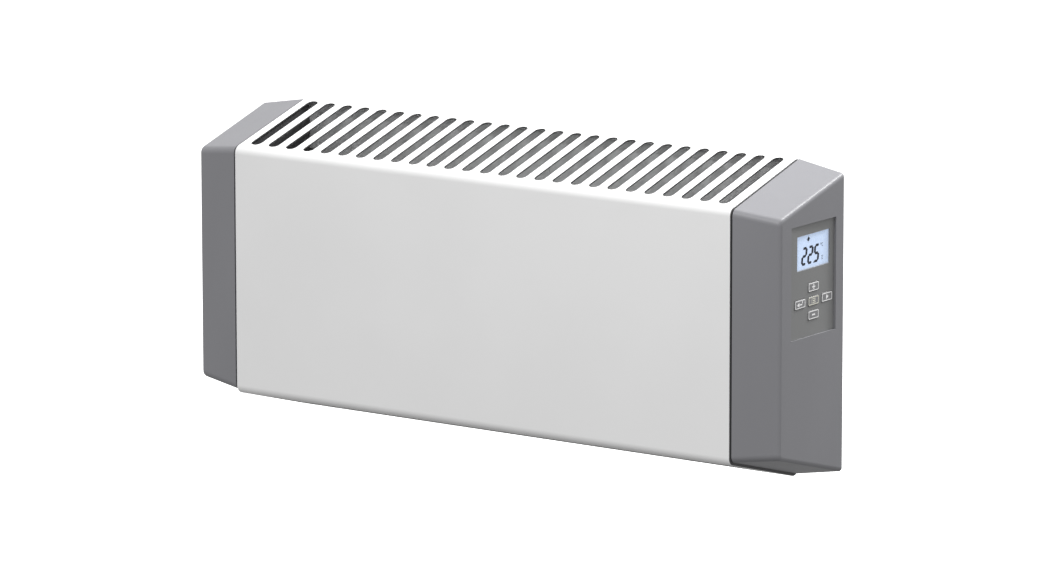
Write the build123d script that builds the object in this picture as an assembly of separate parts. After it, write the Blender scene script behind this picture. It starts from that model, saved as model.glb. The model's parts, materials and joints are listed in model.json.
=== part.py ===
"""Wall-mounted fan convector heater with a slotted steel casing and moulded end caps.

Frame: +X to the right seen from the front, +Y towards the wall, +Z up.
The origin is the centre of the wall face, so the wall is the plane Y = 0 and the front is at Y = -DEPTH.
Air is drawn in through the underside by a tangential fan, passes the finned element and leaves by the top.
"""

import os
from math import cos, radians, sin, tan

from build123d import *

# ---- driving dimensions, in millimetres and degrees -------------------------------------------
CASING_WIDTH = 552.0      # steel casing between the two end caps
FRONT_HEIGHT = 232.0      # flat front, between its virtual corners
DEPTH = 113.0             # wall to front face
FLARE = 15.73             # rise of the top, and fall of the underside, towards the wall
SHEET = 1.2               # steel sheet
FRONT_BEND = 8.0          # outside radius of the casing's front bends
REAR_BEND = 5.0           # outside radius of the casing's rear bends
END_BEND = 2.4            # outside radius along the casing's ends

CAP_LENGTH = 47.8         # end cap along X, at mid depth
CAP_DRAFT = 9.6          # inward slope of the cap's front, top and underside
CAP_FLARE = 1.27          # outward slope of the cap's side face towards the wall
CAP_WALL = 2.5
CAP_GAP = 1.0             # shadow gap between cap and casing
CAP_PROUD = 1.1           # the casing stands this far proud of the cap's front and top
CAP_STEP_BELOW = 1.9      # and this much more below the cap's underside

SLOT_COUNT = 27
SLOT_PITCH = 20.0
SLOT_WIDTH = 10.5
OUTLET_SLOT = (10.2, 109.4)   # start and end along the top, from the front virtual corner
INTAKE_SLOT = (14.0, 88.0)    # the same along the underside

POCKET_Y = (-86.4, -15.4)     # control pocket in the right cap's side
POCKET_Z = (-2.4, 100.1)
WINDOW_SIZE = (53.4, 31.6)    # display window, along Y and Z
WINDOW_Z = 74.6
KEY_SIZE = (17.0, 8.0)
KEY_PITCH = (22.0, 12.7)
KEY_Z = 28.9                  # centre key
KEY_TRAVEL = 0.5

FAN_Y, FAN_Z = -58.0, -70.0   # impeller axis
FAN_RADIUS = 32.0
FAN_START, FAN_END = -150.0, 190.0
FAN_SECTIONS = 3
FAN_BLADES = 24
SHAFT_R = 3.0

BULKHEAD_X = (-268.0, 259.0)  # inner face of each bulkhead
WALL_HOLE_SPACING = (430.0, 160.0)
WALL_HOLE_R = 3.0
WALL_HOLE_Z = -10.0           # height of the wall hole pattern's centre
CABLE_ENTRY = (236.0, -100.0) # X, Z of the fixed-wiring cable's grommet

# ---- derived sizes -----------------------------------------------------------------------------
HALF_WIDTH = CASING_WIDTH / 2
HALF_FRONT = FRONT_HEIGHT / 2
RISE = DEPTH * tan(radians(FLARE))
HALF_BACK = HALF_FRONT + RISE
CONTROL_Y = -49.0                         # centre line of the window and the keys
CAP_SIDE_X = HALF_WIDTH + CAP_LENGTH      # side face at mid depth
FASCIA = 1.2
FASCIA_X = 322.3                          # outer face of the fascia, nearly flush at the pocket's front edge
POCKET_FLOOR_X = FASCIA_X - FASCIA
CAP_INNER_X = 317.8                       # inner face of the right cap's side wall
PCB_X, PCB_THICK = 307.5, 1.6
PCB_TOP = PCB_X + PCB_THICK
MID_Y = -DEPTH / 2

os.makedirs("parts", exist_ok=True)


def save(name, *shapes):
    """Write one node's solids to its STEP file."""
    solids = [solid for shape in shapes for solid in shape.solids()]
    export_step(solids[0] if len(solids) == 1 else Compound(children=solids), f"parts/{name}.step")


def yz(x):
    """Plane across X at x, with the sketch's first axis along Y and its second along Z."""
    return Plane(origin=(x, 0, 0), x_dir=(0, 1, 0), z_dir=(1, 0, 0))


def xz(y):
    """Plane across Y at y, facing the wall, with the sketch's first axis along -X and its second along Z."""
    return Plane(origin=(0, y, 0), x_dir=(-1, 0, 0), z_dir=(0, 1, 0))


def block(x, y, z):
    """A box from its (low, high) pairs."""
    centre = [(a + b) / 2 for a, b in (x, y, z)]
    return Pos(*centre) * Box(x[1] - x[0], y[1] - y[0], z[1] - z[0])


def rod(radius, x, y, z):
    """A cylinder along X between a pair of x values."""
    return extrude(yz(x[0]) * Pos(y, z) * Circle(radius), x[1] - x[0])


def profile(inset, front_r=0.0, rear_r=0.0, back=0.0, below=0.0):
    """The heater's end profile as a face in (Y, Z), drawn in by inset and ended at Y = back."""
    slope = radians(FLARE)
    front = -DEPTH + inset
    top_front = HALF_FRONT + inset * tan(slope) - inset / cos(slope)
    top_back = top_front + (back - front) * tan(slope)
    low_front, low_back = -top_front + below, -top_back + below
    outline = Polyline((front, low_front), (front, top_front), (back, top_back), (back, low_back), close=True)
    face = make_face(outline)
    if front_r:
        face = fillet(face.vertices().sort_by(Axis.X)[:2], front_r)
    if rear_r:
        face = fillet(face.vertices().sort_by(Axis.X)[-2:], rear_r)
    return face


def slope_plane(side, offset=0.0):
    """Plane on the casing's top (side 1) or underside (side -1), its second axis running back."""
    slope = radians(FLARE)
    normal = (0, -sin(slope), side * cos(slope))
    origin = Vector(0, -DEPTH, side * HALF_FRONT) + Vector(*normal) * offset
    return Plane(origin=origin, x_dir=(side, 0, 0), z_dir=normal)


# ---- casing and chassis ------------------------------------------------------------------------
def front_casing():
    """One folded sheet: flat front, slotted top and underside, returns at both ends and at the wall."""
    outer = extrude(yz(-HALF_WIDTH) * profile(0, FRONT_BEND, REAR_BEND), CASING_WIDTH)
    ends = [e for x in (-HALF_WIDTH, HALF_WIDTH) for e in outer.edges().filter_by_position(Axis.X, x, x)]
    outer = fillet(ends, END_BEND)
    inner_face = profile(SHEET, FRONT_BEND - SHEET, REAR_BEND - SHEET, back=-SHEET)
    inner = extrude(yz(SHEET - HALF_WIDTH) * inner_face, CASING_WIDTH - 2 * SHEET)
    end_return, rear_return = 12.0, 10.0
    end_opening = extrude(yz(-HALF_WIDTH - 1) * profile(end_return, 4.0, 4.0, back=-end_return),
                          CASING_WIDTH + 2)
    rear_opening = block((-HALF_WIDTH + end_return, HALF_WIDTH - end_return), (-2 * SHEET, 1),
                         (rear_return - HALF_BACK, HALF_BACK - rear_return))
    casing = outer - inner - end_opening - rear_opening
    casing -= slots(1, *OUTLET_SLOT) + slots(-1, *INTAKE_SLOT)
    screw_holes = [rod(CAP_SCREW_R + 0.3, (side * HALF_WIDTH - 3, side * HALF_WIDTH + 3), y, z)
                   for side in (-1, 1) for y, z in CAP_SCREWS]
    return casing - screw_holes - countersinks()


def countersinks():
    """Cutters for the three countersunk screws through the underside."""
    return [slope_plane(-1) * Pos(x, BASE_SCREW_RUN) * Rot(180, 0, 0) * countersunk_form(1.77, 3.45)
            for x in BASE_SCREW_X]


def countersunk_form(radius, head_r, head_h=1.7, length=9.0):
    """Countersunk screw's outline along +Z, its head flush at Z = 0."""
    head = Pos(0, 0, head_h / 2) * Cone(head_r, radius, head_h)
    return head + Pos(0, 0, length / 2) * Cylinder(radius, length)


def slots(side, start, end):
    """The row of round-ended slots through the top or the underside."""
    reach = 3 * SHEET
    first = -SLOT_PITCH * (SLOT_COUNT - 1) / 2
    places = [Pos(first + i * SLOT_PITCH, (start + end) / 2) for i in range(SLOT_COUNT)]
    row = Sketch() + [place * SlotOverall(end - start, SLOT_WIDTH, rotation=90) for place in places]
    return extrude(slope_plane(side, -reach / 2) * row, reach)


def back_plate():
    """Chassis plate on the wall: a rim stepped in behind the casing's returns and a sloped foot under it."""
    half_x, half_z, thick = 262.0, HALF_BACK - 11.0, 1.5
    rim_y, rim_top = (0.1 - 2 * thick, 0.1 - thick), HALF_BACK - 6.2
    plate = block((-half_x, half_x), (-thick, 0), (-half_z, half_z))
    plate += block((-269, 269), rim_y, (half_z - 1.5, rim_top))
    plate += block((-269, 0.6 - half_x), rim_y, (4 - half_z, rim_top))
    plate += block((half_x - 0.6, 269), rim_y, (4 - half_z, rim_top))
    plate += block((-half_x, half_x), (-8.0, -thick / 2), (-half_z, thick - half_z))
    plate += block((-half_x, half_x), (-8.0, thick - 8.0), (4.3 - HALF_BACK, thick - half_z))
    foot = slope_plane(-1, -SHEET - thick) * Pos(0, BASE_SCREW_RUN) * Rectangle(2 * half_x, 15.0)
    plate += extrude(foot, thick)
    plate += [block((x - 3, x + 3), (-thick - 1.2, -thick + 0.01), (-30, 110)) for x in (-225, 0, 225)]
    dx, dz = WALL_HOLE_SPACING[0] / 2, WALL_HOLE_SPACING[1] / 2
    holes = [Pos(x, 0, WALL_HOLE_Z + z) * Rot(90, 0, 0) * Cylinder(WALL_HOLE_R, 20)
             for x in (-dx, dx) for z in (-dz, dz)]
    entry = Pos(CABLE_ENTRY[0], 0, CABLE_ENTRY[1]) * Rot(90, 0, 0) * Cylinder(9.0, 20)
    return plate - holes - entry - countersinks()


def bulkhead(side, holes=()):
    """Sheet wall that closes the hot compartment, with a foot on the back plate and its wiring holes."""
    x = BULKHEAD_X[side > 0]
    face = profile(SHEET + 2.2, 6.0, 2.0, back=-6.0, below=9.0)
    sheet = extrude(yz(min(x, x + side * SHEET)) * face, SHEET)
    foot_x = sorted((x, x - side * 11))
    foot = block(foot_x, (-6.2, -5.0), (-95, 100))
    post_x = foot_x if side > 0 else (-261.2, foot_x[1])
    sheet += [foot, block(post_x, (-6.2, -1.5), (60, 80)), block(post_x, (-6.2, -1.5), (-80, -60))]
    return sheet - [rod(8.0, (x - 4, x + 4), y, z) for y, z in holes]


# ---- end caps ----------------------------------------------------------------------------------
CAP_SCREW_R = 1.7
CAP_SCREWS = ((-105.6, 82.0), (-105.6, -82.0), (-9.0, 112.0), (-9.0, -112.0))
CAP_BACK = -3.4               # the caps stop this short of the wall
BASE_SCREW_X = (-215.0, 0.0, 215.0)
BASE_SCREW_RUN = 103.0


def cap_hull(inset, end_x):
    """The right cap's drafted form, without its rounded edges: the profile drawn in towards its side face."""
    start = HALF_WIDTH + CAP_GAP
    face = profile(CAP_PROUD + inset, back=20.0, below=CAP_STEP_BELOW)
    hull = extrude(yz(start) * face, 60.0, taper=CAP_DRAFT)
    wall_side = block((start - 1, start + 80), (CAP_BACK - inset, 60), (-300, 300))
    return hull - wall_side - end_x


def side_cutter(offset):
    """Everything beyond the cap's side face, which leans out towards the wall."""
    lean = radians(CAP_FLARE)
    plane = Plane(origin=(CAP_SIDE_X + offset, MID_Y, 0), x_dir=(0, 1, 0), z_dir=(cos(lean), -sin(lean), 0))
    return extrude(plane * Rectangle(400, 600), 80)


def plain_cap(inner_cutter):
    """Right cap shell: rounded outside, hollow towards the casing, with its screw bosses."""
    outer = cap_hull(0, side_cutter(0))
    front_edges = outer.edges().filter_by(lambda e: edge_is_front_bend(e))
    outer = fillet(front_edges, 7.0)
    side_edges = outer.faces().sort_by(Axis.X)[-1].edges().sort_by(Axis.Y)
    outer = fillet(side_edges[:-1], 4.0)
    cavity = cap_hull(CAP_WALL, inner_cutter)
    shell = outer - cavity
    bosses = [rod(4.2, (HALF_WIDTH, HALF_WIDTH + 20), y, z) for y, z in CAP_SCREWS]
    bosses = [boss & (outer + block((HALF_WIDTH, HALF_WIDTH + CAP_GAP + 0.01), (-DEPTH, 0), (-150, 150)))
              for boss in bosses]
    shell = shell + bosses
    return shell - [rod(CAP_SCREW_R, (HALF_WIDTH - 1, HALF_WIDTH + 17), y, z) for y, z in CAP_SCREWS]


def edge_is_front_bend(edge):
    """Whether an edge runs along the cap where its front meets its top or its underside."""
    start, end = edge @ 0, edge @ 1
    return abs(start.X - end.X) > 30 and (start.Y + end.Y) / 2 < -80


def end_cap_left():
    """Plain cap with two stiffening ribs inside."""
    cap = plain_cap(side_cutter(-CAP_WALL))
    ribs = [block((300.0, CAP_SIDE_X - 1.5), (-102.0, CAP_BACK - 1.0), (z - 1, z + 1)) for z in (-45.0, 45.0)]
    return mirror(cap + ribs, Plane.YZ)


def end_cap_right():
    """Cap with the control pocket, its apertures and the board's posts."""
    flat = block((CAP_INNER_X, 420), (-200, 20), (-200, 200))
    cap = plain_cap(flat)
    cap -= block((POCKET_FLOOR_X, 340), POCKET_Y, POCKET_Z)
    window = block((300, 340), centred(CONTROL_Y, WINDOW_SIZE[0] + 3), centred(WINDOW_Z, WINDOW_SIZE[1] + 3))
    keyholes = [block((300, 340), centred(y, KEY_SIZE[0] + 1.0), centred(z, KEY_SIZE[1] + 1.0))
                for y, z in key_places().values()]
    posts = [rod(3.2, (PCB_TOP, CAP_INNER_X + 0.5), y, z) for y, z in board_screws()]
    cap = cap + posts - window - keyholes
    return cap - [rod(1.25, (PCB_TOP - 1, CAP_INNER_X - 0.5), y, z) for y, z in board_screws()]


# ---- controls ----------------------------------------------------------------------------------
def centred(middle, size):
    """(low, high) of a span."""
    return (middle - size / 2, middle + size / 2)


def key_places():
    """Each key's centre in (Y, Z); left is towards the front of the heater."""
    dy, dz = KEY_PITCH
    return {"plus": (CONTROL_Y, KEY_Z + dz), "minus": (CONTROL_Y, KEY_Z - dz),
            "menu": (CONTROL_Y, KEY_Z), "back": (CONTROL_Y - dy, KEY_Z), "next": (CONTROL_Y + dy, KEY_Z)}


def board_screws():
    """Centres of the control board's four screws."""
    return [(y, z) for y in (-79.5, -15.7) for z in (2.6, 95.2)]


def control_fascia():
    """Membrane-style plate that fills the pocket, with the window and five key apertures."""
    fit = 0.05
    plate = block((POCKET_FLOOR_X, FASCIA_X), (POCKET_Y[0] + fit, POCKET_Y[1] - fit),
                  (POCKET_Z[0] + fit, POCKET_Z[1] - fit))
    plate = fillet(plate.edges().filter_by(Axis.X), 1.0)
    plate -= block((300, 340), centred(CONTROL_Y, WINDOW_SIZE[0]), centred(WINDOW_Z, WINDOW_SIZE[1]))
    return plate - [block((300, 340), centred(y, KEY_SIZE[0] + 0.6), centred(z, KEY_SIZE[1] + 0.6))
                    for y, z in key_places().values()]


def display_lens():
    """Clear cover, just under flush in the fascia's window."""
    return block((POCKET_FLOOR_X + 0.2, FASCIA_X - 0.1), centred(CONTROL_Y, WINDOW_SIZE[0] - 0.2),
                 centred(WINDOW_Z, WINDOW_SIZE[1] - 0.2))


def display_glass():
    """Liquid-crystal cell behind the lens."""
    return block((318.0, POCKET_FLOOR_X), centred(CONTROL_Y, 53.6), centred(WINDOW_Z, 33.6))


def backlight_box():
    """White light box between the board and the cell."""
    box = block((PCB_TOP, 318.0), centred(CONTROL_Y, 53.0), centred(WINDOW_Z, 33.0))
    hollow = block((PCB_TOP - 1, 316.5), centred(CONTROL_Y, 50.0), centred(WINDOW_Z, 30.0))
    return box - hollow


def key(y, z):
    """Key cap with a soft rim, a retaining flange behind the wall and a stem over its switch."""
    cap = block((317.0, FASCIA_X + 0.5), centred(y, KEY_SIZE[0]), centred(z, KEY_SIZE[1]))
    cap = fillet(cap.edges().filter_by(Axis.X), 1.2)
    cap = fillet(cap.faces().sort_by(Axis.X)[-1].edges(), 0.35)
    flange = block((316.6, 317.5), centred(y, KEY_SIZE[0] + 3.0), centred(z, KEY_SIZE[1] + 2.4))
    return cap + flange + rod(1.6, (SWITCH_TOP + KEY_TRAVEL + 0.1, 317.0), y, z)


SWITCH_TOP = 313.2


def key_switches():
    """Five tact switches soldered to the board."""
    return [block((PCB_TOP, 312.6), centred(y, 6.0), centred(z, 6.0)) + rod(1.75, (312.5, SWITCH_TOP), y, z)
            for y, z in key_places().values()]


def control_board():
    """Printed circuit board on the cap's four posts."""
    board = block((PCB_X, PCB_TOP), (-82.0, -13.2), (0.0, 97.8))
    return board - [rod(1.6, (PCB_X - 1, PCB_TOP + 1), y, z) for y, z in board_screws()]


def board_parts():
    """Processor, buzzer and plug header on the back of the board."""
    chip = block((PCB_X - 1.8, PCB_X), (-66.0, -54.0), (22.0, 34.0))
    buzzer = rod(6.0, (PCB_X - 7.0, PCB_X), -30.0, 30.0)
    header = block((PCB_X - 8.0, PCB_X), (-60.0, -36.0), (6.0, 12.0))
    return [chip, buzzer, header]


def power_board():
    """Relay board on the right bulkhead."""
    return block((268.0, 269.6), (-88.0, -30.0), (-60.0, 40.0))


def power_parts():
    """Two relays, a capacitor, a transformer and a plug header on the relay board."""
    x = 269.6
    relays = [block((x, x + 15.5), (-84.0, -65.0), span) for span in ((8.0, 36.0), (-24.0, 4.0))]
    transformer = block((x, x + 22.0), (-60.0, -34.0), (6.0, 36.0))
    capacitor = rod(6.5, (x, x + 21.0), -46.0, -10.0)
    header = block((x, x + 11.0), (-80.0, -40.0), (-56.0, -46.0))
    return [*relays, transformer, capacitor, header]


def board_spacers():
    """Four nylon spacers between the bulkhead and the relay board."""
    start = BULKHEAD_X[1] + SHEET
    return [rod(3.0, (start, 268.0), y, z) for y in (-85.0, -33.0) for z in (-57.0, 37.0)]


# ---- fan ---------------------------------------------------------------------------------------
def blade():
    """One forward-curved blade's section at the top of the rotor, as a face about the fan's axis."""
    root, tip, thick, lean = 25.5, FAN_RADIUS - 0.6, 0.9, 4.2
    bow = 1.5
    outer = ThreePointArc((0, root), (lean / 2 - bow, (root + tip) / 2), (lean, tip))
    inner = ThreePointArc((thick, root), (lean / 2 - bow + thick, (root + tip) / 2), (lean + thick, tip))
    return make_face([outer, Line(outer @ 1, inner @ 1), inner, Line(inner @ 0, outer @ 0)])


def impeller():
    """Tangential rotor: rings of blades between discs, each section turned a little from the last."""
    pitch = (FAN_END - FAN_START) / FAN_SECTIONS
    disc_thick, bite = 1.6, 0.4
    rotor = []
    for section in range(FAN_SECTIONS):
        start = FAN_START + section * pitch
        turn = section * 360 / FAN_BLADES / FAN_SECTIONS
        ring = Sketch() + [Rot(0, 0, turn + i * 360 / FAN_BLADES) * blade() for i in range(FAN_BLADES)]
        rotor.append(extrude(yz(start + disc_thick - bite) * Pos(FAN_Y, FAN_Z) * ring,
                             pitch - disc_thick + 2 * bite))
    discs = [FAN_START + i * pitch for i in range(FAN_SECTIONS)] + [FAN_END]
    for i, x in enumerate(discs):
        disc = rod(FAN_RADIUS, (x, x + disc_thick), FAN_Y, FAN_Z)
        hub = 5.0 if i in (0, FAN_SECTIONS) else 22.0
        rotor.append(disc - rod(hub, (x - 1, x + disc_thick + 1), FAN_Y, FAN_Z))
    return Part() + rotor


def drive_hub():
    """Rubber hub that joins the motor's shaft to the impeller's first disc."""
    hub = rod(5.0, (FAN_START, FAN_START + 1.6), FAN_Y, FAN_Z)
    hub += rod(9.0, (FAN_START + 1.6, FAN_START + 9), FAN_Y, FAN_Z)
    return hub - rod(SHAFT_R, (FAN_START - 1, FAN_START + 12), FAN_Y, FAN_Z)


def stub_shaft():
    """Stub axle in the impeller's last disc."""
    head = rod(9.0, (FAN_END - 3.0, FAN_END), FAN_Y, FAN_Z) + rod(5.0, (FAN_END, FAN_END + 1.6), FAN_Y, FAN_Z)
    return head + rod(SHAFT_R, (FAN_END + 1.6, FAN_END + 19.0), FAN_Y, FAN_Z)


MOTOR_X = (-207.0, -183.0)


def motor_shaft():
    """Motor shaft through both bearings into the rubber hub."""
    return rod(SHAFT_R, (MOTOR_X[0] - 12, FAN_START + 9), FAN_Y, FAN_Z)


def motor_rotor():
    """Squirrel-cage rotor pressed on the shaft."""
    return rod(13.0, MOTOR_X, FAN_Y, FAN_Z) - rod(SHAFT_R, (-300, 0), FAN_Y, FAN_Z)


def motor_stator():
    """Laminated shaded-pole core with a window for the coil."""
    core = extrude(yz(MOTOR_X[0]) * Pos(FAN_Y, FAN_Z + 12) * RectangleRounded(56, 76, 4), MOTOR_X[1] - MOTOR_X[0])
    core -= rod(13.5, (-300, 0), FAN_Y, FAN_Z)
    return core - block((-300, 0), centred(FAN_Y, 30), (FAN_Z + 22, FAN_Z + 40))


def motor_coil():
    """Bobbin and winding on the core's upper limb."""
    limb = block((MOTOR_X[0] - 0.3, MOTOR_X[1] + 0.3), centred(FAN_Y, 29), (FAN_Z + 40, FAN_Z + 50.2))
    coil = block((MOTOR_X[0] - 7, MOTOR_X[1] + 7), centred(FAN_Y, 28), (FAN_Z + 30, FAN_Z + 59))
    coil = fillet(coil.edges().filter_by(Axis.Y), 5.0)
    return coil - limb


def motor_frame(x, outward):
    """Cast bearing frame across the core, with its sleeve bearing's boss."""
    span = sorted((x, x + outward * 4.0))
    arm = block(span, centred(FAN_Y, 12), (FAN_Z - 24, FAN_Z + 20))
    feet = [block(sorted((x, x + outward * 4)), centred(FAN_Y, 48), (z - 5, z + 5)) for z in (FAN_Z - 20, FAN_Z + 16)]
    boss = rod(8.0, sorted((x, x + outward * 8)), FAN_Y, FAN_Z)
    frame = Part() + [arm, *feet, boss]
    return frame - rod(5.0, (-300, 0), FAN_Y, FAN_Z)


def motor_bearing(x, outward):
    """Sintered sleeve bearing in its frame."""
    sleeve = rod(5.0, sorted((x, x + outward * 8)), FAN_Y, FAN_Z)
    return sleeve - rod(SHAFT_R + 0.03, (-300, 0), FAN_Y, FAN_Z)


def motor_bracket():
    """Bent sheet bracket from the back plate to the motor's inner frame."""
    x = MOTOR_X[1] + 4.0
    web = block((x, x + SHEET), (-84.0, -2.7), (FAN_Z - 28, FAN_Z + 24))
    foot = block((x, x + 14), (-2.7, -1.5), (FAN_Z - 28, FAN_Z + 24))
    return web + foot - rod(9.0, (x - 5, x + 5), FAN_Y, FAN_Z)


END_PLATES = (-158.0, 196.0)


def duct_section():
    """(rear guide, tongue) centrelines in (Y, Z): the scroll's walls carried up past the element."""
    start_angle, start_r, end_r = -100.0, FAN_RADIUS + 3.0, FAN_RADIUS + 12.0
    steps = 6
    scroll = []
    for i in range(steps + 1):
        angle = radians(start_angle + i * (100.0 / steps))
        radius = start_r + (end_r - start_r) * i / steps
        scroll.append((FAN_Y + radius * cos(angle), FAN_Z + radius * sin(angle)))
    guide = Spline(*scroll, tangents=[(1, 0.15), (0, 1)]) + Line(scroll[-1], (scroll[-1][0], DUCT_TOP))
    lip_r = FAN_RADIUS + 3.0
    lip = [(FAN_Y + lip_r * cos(radians(a)), FAN_Z + lip_r * sin(radians(a))) for a in (188, 172, 156)]
    tongue = ThreePointArc(*lip) + Line(lip[-1], (DUCT_FRONT, lip[-1][1] + 16)) + Line(
        (DUCT_FRONT, lip[-1][1] + 16), (DUCT_FRONT, DUCT_TOP))
    return guide, tongue


DUCT_TOP = 26.0
DUCT_FRONT = FAN_Y - 34.0


def duct_sheet(line):
    """A wall of the duct: a line in (Y, Z) thickened to sheet and run between the end plates."""
    return extrude(yz(END_PLATES[0] + SHEET) * trace(line, SHEET), END_PLATES[1] - END_PLATES[0] - SHEET)


def duct_end_plate(x, bore):
    """Flat end of the duct with a foot on the back plate, holes for the shaft and the element's legs."""
    outline = Polyline((-96, 28), (-96, -60), (-80, -108), (-30, -112), (-9, -95), (-9, 28), close=True)
    plate = extrude(yz(x) * make_face(outline), SHEET)
    arms = [block((x, x + SHEET), (-9.5, -2.7), (z - 8, z + 8)) for z in (-60.0, 8.0)]
    feet = [block((x, x + 12), (-2.7, -1.5), (z - 8, z + 8)) for z in (-60.0, 8.0)]
    plate = plate + arms + feet
    holes = [rod(ELEMENT_R + 2.0, (x - 5, x + 5), y, ELEMENT_Z) for y in ELEMENT_Y]
    return plate - holes - rod(bore, (x - 5, x + 5), FAN_Y, FAN_Z)


def end_bearing():
    """Rubber-mounted sleeve bearing in the far end plate."""
    x = END_PLATES[1]
    ring = rod(10.0, (x, x + SHEET), FAN_Y, FAN_Z) + rod(12.0, (x + SHEET, x + 6.0), FAN_Y, FAN_Z)
    ring += rod(12.0, (x - 1.5, x), FAN_Y, FAN_Z)
    return ring - rod(SHAFT_R + 0.03, (x - 5, x + 10), FAN_Y, FAN_Z)


# ---- heating element ---------------------------------------------------------------------------
ELEMENT_R = 4.0
ELEMENT_Y = (-71.0, -33.0)
ELEMENT_Z = 2.0
ELEMENT_X = (-186.0, 214.0)
FIN_COUNT = 34
FIN_SPAN = (-148.0, 188.0)


def heating_element():
    """Sheathed hairpin element, its bend at the motor end."""
    mid, half = (ELEMENT_Y[0] + ELEMENT_Y[1]) / 2, (ELEMENT_Y[1] - ELEMENT_Y[0]) / 2
    bend_x = ELEMENT_X[0] + half
    path = (Line((ELEMENT_X[1], ELEMENT_Y[0], ELEMENT_Z), (bend_x, ELEMENT_Y[0], ELEMENT_Z))
            + ThreePointArc((bend_x, ELEMENT_Y[0], ELEMENT_Z), (bend_x - half, mid, ELEMENT_Z),
                            (bend_x, ELEMENT_Y[1], ELEMENT_Z))
            + Line((bend_x, ELEMENT_Y[1], ELEMENT_Z), (ELEMENT_X[1], ELEMENT_Y[1], ELEMENT_Z)))
    start = Plane(origin=(ELEMENT_X[1], ELEMENT_Y[0], ELEMENT_Z), z_dir=(-1, 0, 0))
    return sweep(start * Circle(ELEMENT_R), path)


def element_fins():
    """Plate fins threaded on both legs of the element."""
    step = (FIN_SPAN[1] - FIN_SPAN[0]) / (FIN_COUNT - 1)
    mid = (ELEMENT_Y[0] + ELEMENT_Y[1]) / 2
    legs = [Pos(y, ELEMENT_Z) * Circle(ELEMENT_R + 0.02) for y in ELEMENT_Y]
    section = Pos(mid, ELEMENT_Z) * Rectangle(62.0, 30.0) - legs
    return [extrude(yz(FIN_SPAN[0] + i * step) * section, 0.6) for i in range(FIN_COUNT)]


def element_bushes():
    """Ceramic bushes where the legs pass through the end plates."""
    bushes = []
    for x in END_PLATES:
        for y in ELEMENT_Y:
            collar = rod(ELEMENT_R + 2.0, (x, x + SHEET), y, ELEMENT_Z)
            collar += rod(ELEMENT_R + 4.0, (x + SHEET, x + 5), y, ELEMENT_Z)
            bushes.append(collar - rod(ELEMENT_R + 0.02, (x - 5, x + 10), y, ELEMENT_Z))
    return bushes


def element_terminals():
    """Insulator and threaded stud at each cold end of the element."""
    x = ELEMENT_X[1]
    return [rod(5.5, (x, x + 7), y, ELEMENT_Z) + rod(1.6, (x + 7, x + 17), y, ELEMENT_Z) for y in ELEMENT_Y]


def thermal_cutout():
    """Disc thermostat on the end plate above the element."""
    x = END_PLATES[1] + SHEET
    body = rod(8.0, (x, x + 9), -52.0, 17.0)
    tabs = [block((x + 9, x + 17), centred(-52.0 + d, 1.0), centred(17.0, 6.3)) for d in (-4.0, 4.0)]
    return [Part() + [body, *tabs]]


# ---- wiring entry ------------------------------------------------------------------------------
TERMINALS = (216.5, 228.5, 240.5)


def terminal_block():
    """Three-way screw terminal block on the back plate."""
    base = block((209.5, 247.5), (-20.0, -1.5), (-66.0, -44.0))
    wells = [Pos(x, -20.0, -55.0) * Rot(90, 0, 0) * Cylinder(4.0, 12.0) for x in TERMINALS]
    ports = [Pos(x, -11.0, -66.0) * Cylinder(2.5, 10.0) for x in TERMINALS]
    return base - wells - ports


def terminal_screws():
    """Brass clamp screws, one in each way."""
    screws = []
    for x in TERMINALS:
        head = Pos(x, -16.0, -55.0) * Rot(90, 0, 0) * Cylinder(3.6, 3.9)
        screws.append(head - block((x - 4, x + 4), (-18.5, -16.8), (-55.5, -54.5)))
    return screws


GROMMET_BORE = 5.0
GROMMET_LENGTH = 6.0


def cable_grommet():
    """Rubber grommet in the back plate for the fixed-wiring cable."""
    x, z = CABLE_ENTRY
    lip = Pos(x, -1.5 - 2.25, z) * Rot(90, 0, 0) * Cylinder(11.5, 4.5)
    neck = Pos(x, -0.75, z) * Rot(90, 0, 0) * Cylinder(9.0, 1.5)
    return lip + neck - Pos(x, 0, z) * Rot(90, 0, 0) * Cylinder(GROMMET_BORE, 30)


def cable_clamp():
    """Saddle over the cable between grommet and terminal block, with its two screws' ears."""
    x, z = CABLE_ENTRY[0] - 2, CABLE_ENTRY[1] + 22
    saddle = Pos(x, -8.0, z) * (Cylinder(7.0, 9.0) - Cylinder(5.0, 9.0))
    saddle &= block((x - 20, x + 20), (-20.0, -8.0), (z - 10, z + 10))
    ears = [block(sorted((x + s * 5.0, x + s * 13.0)), (-8.0, -6.6), (z - 4.5, z + 4.5)) for s in (-1, 1)]
    legs = [block(sorted((x + s * 9.0, x + s * 13.0)), (-8.0, -1.5), (z - 4.5, z + 4.5)) for s in (-1, 1)]
    return Part() + [saddle, *ears, *legs]


def air_sensor():
    """Room-air thermistor in a clip on the right bulkhead."""
    clip = block((BULKHEAD_X[1] + SHEET, 268.0), (-70.0, -58.0), (-108.0, -100.0))
    bead = Pos(266.0, -64.0, -112.0) * Cylinder(2.0, 8.0)
    return [clip + bead]


# ---- wiring ------------------------------------------------------------------------------------
def wire(radius, *points):
    """A round wire through the points, bent at each of the inner ones."""
    path = FilletPolyline(*points, radius=3.0)
    return sweep(Plane(origin=path @ 0, z_dir=path % 0) * Circle(radius), path)


def supply_wires():
    """Three wires from the terminal block, through the bulkhead, to the relay board's header."""
    wires = []
    for i, x in enumerate(TERMINALS):
        z, y = -22.0 - 5 * i, -62.0 + 8 * i
        wires.append(wire(1.3, (x, -16, -44), (x, -16, z), (275, -16, z), (275, y, z), (275, y, -46)))
    return wires


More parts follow.
